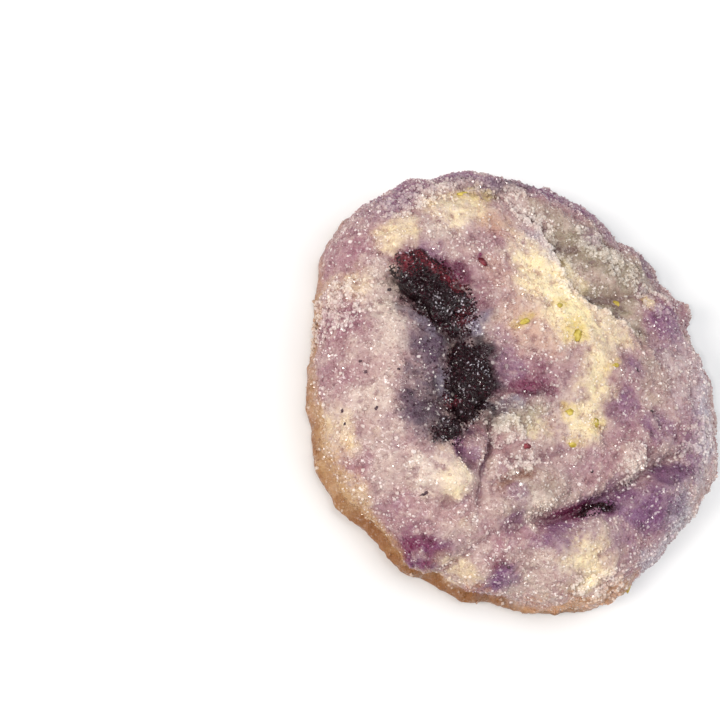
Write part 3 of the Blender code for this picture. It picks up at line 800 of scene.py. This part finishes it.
sugar = {
    "fine": 24000,
    "fineSize": (0.24, 0.5),
    "fineSunk": (0.35, 0.8),
    "coarse": 9500,
    "coarseSize": (0.34, 0.74),
    "coarseSunk": (0.45, 0.9),
    "onBerries": 5000,
    "berryArea": 86,  # the half-length times half-width that they are spread over
    "roundBerries": 2200,  # on the dough at their edges, in a ring this far out and this wide
    "ringReach": 1.02,
    "ringWidth": 0.11,
    "berryGrainSize": (0.22, 0.5),
    "berryGrainSunk": (0.4, 0.85),
    "frosted": 9500,  # the pale crust, in clumps
    "frostedSize": (0.34, 0.8),
    "frostedSunk": (0.1, 0.7),
    "bareBelow": 2.2,  # height of the foot that stays bare, and how far up it fades
    "bareFade": 2.5,
    "bareInFront": 7.5,
    "bareInFrontFade": 4,
    "patchSize": 3.5,
}

# Where the sugar is thin, x, y, half-length, half-width, turn and how much of it is missing
bareSpots = {
    "paleLump": (-15.5, -20, 4.5, 4, 0, 0.85),
    "ridge": (10, 10.5, 9, 4.5, -35, 0.75),
    "ridgeFoot": (10, 0, 4.5, 9, 10, 0.65),
    "creamTop": (-11, 31, 8, 4.5, 5, 0.75),
    "bottomLump": (10, -31, 9, 6, 10, 0.6),
    "terrace": (19, 20, 10, 4.5, -35, 0.6),
    "fold": (16, -19.5, 12, 3.4, 22, 0.5),
}

# Where it lies in a white crust
frostSpots = {
    "ledgeUpper": (4.4, 22.5, 6, 1.7, -78, 1.0),
    "ledgeLower": (13, 14.6, 7, 1.5, -20, 1.0),
    "ledgeFoot": (8.6, 21.6, 6.5, 1.4, -56, 0.6),
    "slabFoot": (1, 31, 5, 1.8, -35, 1.0),
    "topRim": (-8, 37.4, 9, 2, 3, 0.6),
    "topRimLeft": (-22, 32.5, 6, 2, 35, 0.6),
    "terrace": (16, 26.5, 6, 2.6, -35, 0.7),
    "shelf": (25.5, 19.5, 4, 2.4, -45, 0.6),
    "leftEdge": (-34.5, 11, 2.4, 5, -20, 0.5),
    "sugaredLump": (-6.8, -10.6, 3.2, 2.4, 10, 0.9),
    "pitEdge": (-4.4, -16.4, 3, 1.4, 15, 0.6),
    "bottomLump": (13, -34.4, 4.5, 2.2, 10, 0.5),
    "rightEdge": (33, -8, 5, 3, 80, 0.4),
    "paleKnob": (17.5, -14.5, 3, 3, 0, 0.2),
}


def ovalsAt(plan, ovals):
    strength = np.zeros(len(plan))
    for *oval, most in ovals.values():
        strength = np.maximum(strength, most * np.clip(1.4 - ovalReach(plan, *oval), 0, 1))
    return strength


def sugarDensity(middles, normals):
    height = np.clip((middles[:, 2] - sugar["bareBelow"]) / sugar["bareFade"], 0.02, 1)
    front = bell(wayAround(middles), dough["frontWay"], dough["bareSpread"])
    under = (sugar["bareInFront"] - middles[:, 2]) / sugar["bareInFrontFade"]
    bareFront = 1 - front * np.clip(under, 0, 0.9)
    patchy = 0.7 + 0.9 * noiseAt(middles, sugar["patchSize"])
    spread = 1 - ovalsAt(middles[:, :2], bareSpots)
    return height * bareFront * spread * np.clip(patchy, 0.12, 1.4)


def frostDensity(middles, normals):
    clumps = np.clip(noiseAt(middles, dough["crustSize"]) + 0.2, 0, 1)
    facingUp = np.clip(normals[:, 2] + 0.3, 0, 1)
    return (0.005 + ovalsAt(middles[:, :2], frostSpots)) * clumps * facingUp


def berryEdgeDensity(middles, normals):
    density = np.zeros(len(middles))
    for berry in berries.values():
        reach = ovalReach(middles[:, :2], *berry["place"], *berry["half"][:2], berry["turn"])
        off = (reach - sugar["ringReach"]) / sugar["ringWidth"]
        density = np.maximum(density, np.exp(-(off**2)))
    return density


class Wire:  # a socket that shader maths can be written with
    def __init__(self, paint, socket):
        self.paint, self.socket = paint, socket

    def __add__(self, other):
        return self.paint.calc("ADD", self, other)

    __radd__ = __add__

    def __sub__(self, other):
        return self.paint.calc("SUBTRACT", self, other)

    def __rsub__(self, other):
        return self.paint.calc("SUBTRACT", other, self)

    def __mul__(self, other):
        return self.paint.calc("MULTIPLY", self, other)

    __rmul__ = __mul__


class Paint:  # one material, made of nodes
    def __init__(self, name, fixed=None):
        self.material = bpy.data.materials.new(name)
        self.material.use_nodes = True
        self.tree = self.material.node_tree
        self.shader = self.tree.nodes["Principled BSDF"]
        for socket, value in (fixed or {}).items():
            self.shader.inputs[socket].default_value = value
        self.place = self.node("ShaderNodeTexCoord", output="Object")

    def node(self, kind, settings=None, values=None, output=0):
        made = self.tree.nodes.new(kind)
        for key, value in (settings or {}).items():
            if key == "stops":
                self.setStops(made.color_ramp, value)
            else:
                setattr(made, key, value)
        for key, value in (values or {}).items():
            if isinstance(value, Wire):
                self.tree.links.new(value.socket, made.inputs[key])
            else:
                made.inputs[key].default_value = value
        return Wire(self, made.outputs[output])

    def setStops(self, ramp, stops):
        while len(ramp.elements) < len(stops):
            ramp.elements.new(0.5)
        for element, (position, value) in zip(ramp.elements, stops):
            element.position = position
            element.color = (*value, 1) if isinstance(value, tuple) else (value, value, value, 1)

    def calc(self, operation, *values, clamp=False):
        settings = {"operation": operation, "use_clamp": clamp}
        return self.node("ShaderNodeMath", settings, dict(enumerate(values)))

    def clamped(self, value):
        return self.calc("ADD", value, 0.0, clamp=True)

    def layer(self, name):
        return self.node("ShaderNodeAttribute", {"attribute_name": name}, output="Fac")

    def noise(self, size, detail=2.0, rough=0.5):  # size in mm
        values = {"Vector": self.place, "Scale": 1 / (size * mm), "Detail": detail, "Roughness": rough}
        return self.node("ShaderNodeTexNoise", values=values, output="Fac")

    def ramp(self, value, low, high):  # 0 below low, 1 above high, smooth between
        settings = {"interpolation_type": "SMOOTHSTEP"}
        return self.node("ShaderNodeMapRange", settings, {"Value": value, "From Min": low, "From Max": high})

    def mix(self, factor, a, b, blend="MIX"):
        pair = [value if isinstance(value, Wire) else (*value, 1) for value in (a, b)]
        settings = {"data_type": "RGBA", "blend_type": blend}
        return self.node("ShaderNodeMix", settings, {0: factor, 6: pair[0], 7: pair[1]}, output=2)

    def bump(self, height, distance, strength=1.0):  # distance in mm
        values = {"Height": height, "Distance": distance * mm, "Strength": strength}
        return self.node("ShaderNodeBump", values=values, output="Normal")

    def finish(self, colour, roughness, normal=None):
        for socket, wire in (("Base Color", colour), ("Roughness", roughness), ("Normal", normal)):
            if wire is not None:
                self.tree.links.new(wire.socket, self.shader.inputs[socket])
        return self.material


doughLook = {
    "pale": linear(193, 166, 160),
    "blush": linear(179, 142, 142),
    "lilac": linear(166, 130, 142),
    "cream": linear(212, 188, 162),
    "creviceShade": linear(158, 112, 138),  # painted shade that its hollows are dimmed by, and then what its speckles are dimmed by
    "speckle": linear(180, 142, 148),
    "crest": linear(225, 204, 188),
    "dusting": linear(250, 238, 230),
    "hollowDepth": 0.3,
    "swirl": 1.6,  # how far the stains' edges wander, and how strongly they fleck
    "fleck": 0.7,
}


def stained(paint):  # the dough's colour, with every stain in its place and painted shade in its hollows
    colour = paint.mix(paint.ramp(paint.noise(8.0, 3.0), 0.4, 0.62), doughLook["pale"], doughLook["blush"])
    colour = paint.mix(paint.ramp(paint.noise(3.6, 4.0, 0.6), 0.5, 0.72) * 0.6, colour, doughLook["lilac"])
    colour = paint.mix(paint.ramp(paint.noise(5.2, 4.0, 0.6), 0.54, 0.72) * 0.6, colour, doughLook["cream"])
    swirl = paint.noise(2.6, 5.0, 0.62) - 0.5
    fleck = paint.noise(0.8, 3.0, 0.6) - 0.5
    for name, tone in stainColours.items():
        strength = paint.layer(name)
        edge = strength * (1 - strength) * 4
        ragged = strength + (swirl * doughLook["swirl"] + fleck * doughLook["fleck"]) * edge
        colour = paint.mix(paint.clamped(ragged), colour, tone)
    # Hollows are darkened towards the crevice colour as painted shade; raised points are lightened towards
    # the crest colour away from the dark stains.
    hollow = paint.layer("hollow")
    shadedHollow = paint.ramp(hollow, 0.03, doughLook["hollowDepth"])
    proud = paint.ramp(hollow, -0.06, -doughLook["hollowDepth"])
    colour = paint.mix(shadedHollow * 0.6, colour, doughLook["creviceShade"], "MULTIPLY")
    return paint.mix(proud * 0.3 * unsoaked(paint), colour, doughLook["crest"])


def unsoaked(paint):  # 1 away from the juice stains, slate and violet among them, which are in places painted shade; for what lies white on the dough
    juice = paint.layer("ink") + paint.layer("slate") + paint.layer("violet") * 0.5
    return 1 - paint.clamped(juice + paint.layer("wine") * 0.7)


def paintDough():
    moist = {"Subsurface Weight": 0.3, "Subsurface Scale": 0.001, "Subsurface Radius": (1, 0.85, 0.75)}
    moist.update({"Coat Weight": 0.25, "Coat Roughness": 0.15})
    paint = Paint("sugared_crumb", moist)
    speckle = paint.noise(0.75, 4.0, 0.65)
    dim = paint.ramp(speckle, 0.5, 0.34) * 0.3
    dimmed = paint.mix(dim, stained(paint), doughLook["speckle"], "MULTIPLY")
    dusted = paint.ramp(speckle, 0.54, 0.68) * 0.25 * unsoaked(paint)
    colour = paint.mix(dusted, dimmed, doughLook["dusting"])
    roughness = 0.12 + paint.noise(0.9, 3.0) * 0.3
    return paint.finish(colour, roughness, paint.bump(paint.noise(0.42, 5.0, 0.7), 0.4, 0.75))


grainLook = {
    "dim": linear(176, 138, 146),  # what the darker grains are dimmed by
    "bruisedAndShaded": linear(46, 24, 36),
    # white: the whiter sugar, and also the painted glints on grains
    "white": linear(250, 242, 238),
    "frost": linear(240, 233, 224),
    "soaked": linear(58, 16, 28),  # on and beside the berries, with the next two
    "fleshy": linear(146, 54, 66),
    # pale: sugar on the dark fruit, partly painted glints
    "pale": linear(226, 222, 232),
}


def paintSugar():  # half-melted grains, which take the dough's colour
    paint = Paint("melted_sugar", {"IOR": 1.5, "Specular IOR Level": 0.55})
    luck = paint.layer("luck")
    whiter = (0.05 + paint.ramp(luck, 0.55, 0.95) * 0.3) * unsoaked(paint)
    colour = paint.mix(paint.ramp(luck, 0.4, 0.1) * 0.5, stained(paint), grainLook["dim"], "MULTIPLY")
    # Grains darkened where the slate lies: juice, and in places painted shade.
    bruisedAndShaded = paint.clamped(paint.layer("slate") * paint.ramp(luck, 0.34, 0.16) * 0.75)
    colour = paint.mix(bruisedAndShaded, colour, grainLook["bruisedAndShaded"])
    # Grains in the glint spots are whitened: partly pale sugar, partly painted glints.
    caught = paint.layer("caught") * paint.ramp(luck, 0.45, 0.9) * 0.6
    # A share of the grains is painted white as painted glints.
    glints = paint.ramp(luck, 0.84, 0.94) * 0.32
    colour = paint.mix(paint.clamped(whiter + caught + glints), colour, grainLook["white"])
    return paint.finish(colour, 0.06 + luck * 0.12)


def paintFrost():
    paint = Paint("frosted_sugar", {"IOR": 1.5, "Specular IOR Level": 0.6})
    luck = paint.layer("luck")
    white = (0.15 + luck * 0.45) * unsoaked(paint)
    return paint.finish(paint.mix(white, stained(paint), grainLook["frost"]), 0.08 + luck * 0.22)


berryLook = {
    "skin": linear(26, 8, 13),
    "flesh": linear(112, 26, 40),
    "bloom": linear(62, 52, 76),
}


def paintBerry():
    wet = {"Specular IOR Level": 0.3, "Coat Weight": 0.35, "Coat Roughness": 0.04}
    paint = Paint("blueberry_skin", wet)
    ragged = paint.layer("torn") + (paint.noise(1.4, 4.0, 0.65) - 0.5) * 2.0
    colour = paint.mix(paint.ramp(ragged, 0.35, 0.95), berryLook["skin"], berryLook["flesh"])
    bloom = paint.ramp(paint.noise(1.3, 4.0, 0.65), 0.6, 0.74) * 0.25
    colour = paint.mix(bloom, colour, berryLook["bloom"])
    roughness = 0.1 + paint.noise(0.9, 3.0) * 0.25
    return paint.finish(colour, roughness, paint.bump(paint.noise(0.42, 4.0, 0.65), 0.4, 0.9))


def paintJuicySugar():  # grains soaked dark by the berries
    paint = Paint("juicy_sugar", {"IOR": 1.5, "Specular IOR Level": 0.3})
    luck = paint.layer("luck")
    soaked = paint.mix(luck * luck, berryLook["skin"], grainLook["soaked"])
    juice = paint.clamped(paint.layer("ink") * 2.2 + paint.layer("wine"))
    torn = paint.layer("torn") * luck
    fleshy = paint.mix(torn, paint.mix(juice, stained(paint), soaked), grainLook["fleshy"])
    # Pale grains on the dark fruit: partly pale sugar, partly painted glints.
    pale = paint.ramp(luck, 0.93, 0.99) * 0.4 + paint.layer("caught") * paint.ramp(luck, 0.68, 0.95) * 0.8
    return paint.finish(paint.mix(paint.clamped(pale), fleshy, grainLook["pale"]), 0.06 + luck * 0.14)


baseLook = {"brown": linear(150, 92, 44), "light": linear(190, 134, 76), "spots": linear(96, 56, 30)}


def paintBase():
    paint = Paint("browned_crust")
    drift = paint.ramp(paint.noise(9.0, 4.0, 0.6), 0.35, 0.65)
    colour = paint.mix(drift, baseLook["brown"], baseLook["light"])
    spots = paint.ramp(paint.noise(2.0, 4.0, 0.7), 0.55, 0.7)
    colour = paint.mix(spots * 0.6, colour, baseLook["spots"])
    roughness = 0.55 + paint.noise(1.1, 3.0) * 0.3
    return paint.finish(colour, roughness, paint.bump(paint.noise(0.8, 5.0, 0.65), 0.3))


def paintFlecks(name, dark, light):
    paint = Paint(name)
    colour = paint.mix(paint.ramp(paint.noise(0.9, 3.0), 0.35, 0.65), dark, light)
    roughness = 0.25 + paint.noise(0.5, 2.0) * 0.3
    return paint.finish(colour, roughness, paint.bump(paint.noise(0.3, 3.0), 0.1))


def paintFloor():
    paint = Paint("pale_floor")
    colour = paint.mix(paint.noise(90.0, 2.0), (0.88, 0.88, 0.88), (0.9, 0.9, 0.9))
    return paint.finish(colour, 0.7 + paint.noise(30.0, 2.0) * 0.1)


def dress(piece, material):
    piece.data.materials.append(material)
    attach(piece, "root")
    return piece


skin, skinPoints, skinNormals, skinHollows = makeDough()
skinFaces = gridFaces(dough["sheetFaces"])
base = makeBase()
print("cookie: dough shaped")

crumbLook = paintDough()
dress(skin, crumbLook)
dress(base, paintBase())
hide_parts("cookie_dough")

berrySkin = paintBerry()
berrySpots, berryNormals = [], []
for name, berry in berries.items():
    piece, points, faces = makeBerry(name, berry)
    dress(piece, berrySkin)
    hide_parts(name)
    count = int(sugar["onBerries"] * berry["half"][0] * berry["half"][1] / sugar["berryArea"])
    spots, normals, _ = scatter(points, faces, count, lambda m, n: np.clip(n[:, 2] - 0.1, 0, 1))
    berrySpots.append(spots)
    berryNormals.append(normals)
print("cookie: berries set in")


def sprinkle(name, kind, shape, spots, look):  # the kind names the sizes to use, and how far sunk
    places, normals, hollows = spots
    sizes = draw.uniform(*sugar[kind + "Size"], len(places))
    dress(crystals(name, *shape, places, normals, hollows, sizes, sugar[kind + "Sunk"]), look)


def onDough(count, density):
    places, normals, nearest = scatter(skinPoints, skinFaces, count, density)
    return places, normals, skinHollows[nearest]


sugarLook = paintSugar()
fineSpots = onDough(sugar["fine"], sugarDensity)
sprinkle("fine_sugar", "fine", (bead, beadFaces), fineSpots, sugarLook)
coarseSpots = onDough(sugar["coarse"], sugarDensity)
sprinkle("coarse_sugar", "coarse", (nub, nubFaces), coarseSpots, sugarLook)
frostedSpots = onDough(sugar["frosted"], frostDensity)
sprinkle("frosted_sugar", "frosted", (nub, nubFaces), frostedSpots, paintFrost())
edgeSpots, edgeNormals, _ = onDough(sugar["roundBerries"], berryEdgeDensity)
juicyPlaces = np.vstack([*berrySpots, edgeSpots])
juicySpots = (juicyPlaces, np.vstack([*berryNormals, edgeNormals]), np.zeros(len(juicyPlaces)))
sprinkle("juicy_sugar", "berryGrain", (nub, nubFaces), juicySpots, paintJuicySugar())
print("cookie: sugar scattered")

# Flecks: x, y, half-length, half-width and turn
zest = {
    "byRidge": (6.8, 8.1, 1.1, 0.8, 60),
    "ridgeLeft": (3.4, 13.1, 0.7, 0.45, 20),
    "plateauLeft": (-3.6, 9.6, 1.2, 0.5, 25),
    "rightOfTongue": (14.3, 3.2, 0.8, 0.45, 10),
    "tongueLeft": (4.7, -6.3, 0.7, 0.6, 0),
    "tongueRight": (10.4, -7.7, 0.9, 0.8, 30),
    "tongueFoot": (5.4, -12.0, 0.9, 0.5, -10),
    "shelf": (24.4, 19.7, 1.0, 0.5, -30),
    "terrace": (18.6, 17.7, 0.8, 0.5, -40),
    "creamTop": (-12.6, 34.7, 1.1, 0.5, 10),
    "bottomRight": (22.5, -34.0, 0.9, 0.6, 30),
}
seeds = {
    "left": (-31.4, -1.7, 0.5, 0.35, 20),
    "leftUpper": (-32.2, 0.1, 0.35, 0.25, 0),
    "leftLower": (-29.6, -8.3, 0.45, 0.3, 60),
    "leftEdge": (-34.6, -8.2, 0.35, 0.25, 80),
    "leftEdgeLow": (-34.2, -10.6, 0.35, 0.2, 70),
    "leftMiddle": (-26.5, -1.5, 0.3, 0.25, 0),
    "underLump": (-20.4, -22.2, 0.8, 0.35, 35),
    "right": (22.7, -3.8, 0.4, 0.3, 0),
    "rightUpper": (19.5, 3.4, 0.4, 0.3, 0),
    "aboveFold": (9.5, -16.2, 0.35, 0.3, 0),
    "bottom": (-4.5, -33.5, 0.35, 0.3, 0),
    "leftHigh": (-27.0, 14.0, 0.4, 0.35, 0),
}
redFlecks = {"byBurst": (-10.6, 20.0, 1.0, 0.6, -30), "pitEdge": (-3.6, -13.4, 0.9, 0.5, 10)}


def setFlecks(name, flecks, thickness, look):  # each one lies half sunk where the sheet is nearest in plan
    shape, faces = ballShape(2)
    made = []
    for x, y, length, width, turn in flecks.values():
        nearest = np.argmin(np.hypot(skinPoints[:, 0] - x, skinPoints[:, 1] - y))
        c, s = math.cos(math.radians(turn)), math.sin(math.radians(turn))
        up = skinNormals[nearest]
        along = np.cross(np.cross(up, (c, s, 0)), up)
        along /= np.linalg.norm(along)
        half = np.array((length, width, thickness))
        ragged = 1 + 0.6 * noiseAt(shape * 2.3 + np.array((x, y, 0)), 1)
        local = shape * half * ragged[:, None]
        turned = np.stack([along, np.cross(up, along), up])
        made.append(skinPoints[nearest] + local @ turned)
    allFaces = (np.arange(len(made))[:, None, None] * len(shape) + faces[None]).reshape(-1, 3)
    dress(meshFrom(name, np.vstack(made), allFaces, True), look)


setFlecks("lemon_zest", zest, 0.2, paintFlecks("lemon_zest", linear(166, 142, 44), linear(208, 186, 86)))
setFlecks("dark_specks", seeds, 0.25, paintFlecks("dark_specks", linear(44, 26, 34), linear(84, 52, 62)))
setFlecks("red_flecks", redFlecks, 0.3, paintFlecks("red_skin", linear(96, 16, 30), linear(140, 52, 62)))
print("cookie: zest and specks laid")

floorHalf = 1.5  # m
floorMesh = bpy.data.meshes.new("floor")
floorCorners = [(x * floorHalf, y * floorHalf, 0) for x, y in ((-1, -1), (1, -1), (1, 1), (-1, 1))]
floorMesh.from_pydata(floorCorners, [], [(0, 1, 2, 3)])
floorMesh.materials.append(paintFloor())
floor = placed("floor", floorMesh)

view = {
    "elevation": 58,
    "nearWay": 215,  # direction in the plan of the side nearest the camera
    "distance": 320,
    "lens": 88,
    "sensor": 36,
    "pixels": 720,
    "middle": (512, 398),  # where the cookie's middle falls in the picture, in pixels
    "middleHeight": 8,
}


def direction(way, lift):  # in degrees, in the plan and up from it
    a, e = math.radians(way), math.radians(lift)
    return Vector((math.cos(e) * math.cos(a), math.cos(e) * math.sin(a), math.sin(e)))


def placeCamera():
    middle = Vector(planShift) + Vector((0, 0, view["middleHeight"])) * mm
    place = middle + direction(view["nearWay"], view["elevation"]) * view["distance"] * mm

    def facing(target):
        look = (target - place).normalized()
        right = look.cross(Vector((0, 1, 0))).normalized()
        return look, right, right.cross(look)

    _, right, up = facing(middle)
    perPixel = view["distance"] * mm * view["sensor"] / view["pixels"] / view["lens"]
    across, down = (value - view["pixels"] / 2 for value in view["middle"])
    look, right, up = facing(middle - right * across * perPixel + up * down * perPixel)
    data = bpy.data.cameras.new("camera")
    data.lens = view["lens"]
    data.sensor_width = view["sensor"]
    data.clip_start = 0.01
    camera = placed("camera", data)
    turn = Matrix((right, up, -look)).transposed()
    camera.matrix_world = Matrix.Translation(place) @ turn.to_4x4()
    bpy.context.scene.camera = camera


lights = {  # direction in the plan, height, distance in m, size, power, colour
    "key": (200, 40, 0.9, 0.24, 4.35, (1.0, 0.945, 0.888)),
    "glint": (212, 52, 0.9, 0.04, 1.7, (1.0, 0.985, 0.96)),  # small, for the sparkle of the sugar
    "fill": (10, 52, 1.1, 0.9, 4.6, (0.92, 0.95, 1.0)),
    "top": (110, 78, 1.0, 0.7, 2.9, (1.0, 0.99, 0.97)),
}
room = {"Color": (0.95, 0.97, 1.0, 1), "Strength": 0.3}


def placeLights():
    for name, (way, lift, distance, size, power, colour) in lights.items():
        data = bpy.data.lights.new(name, "AREA")
        data.size = size
        data.energy = power
        data.color = colour
        lamp = placed(name, data)
        toLamp = direction(way, lift)
        lamp.location = toLamp * distance
        lamp.rotation_euler = toLamp.to_track_quat("Z", "Y").to_euler()
    world = bpy.data.worlds.new("room")
    world.use_nodes = True
    for socket, value in room.items():
        world.node_tree.nodes["Background"].inputs[socket].default_value = value
    bpy.context.scene.world = world


placeCamera()
placeLights()
bpy.context.scene.view_settings.view_transform = "Standard"
print("cookie: camera and lights placed")
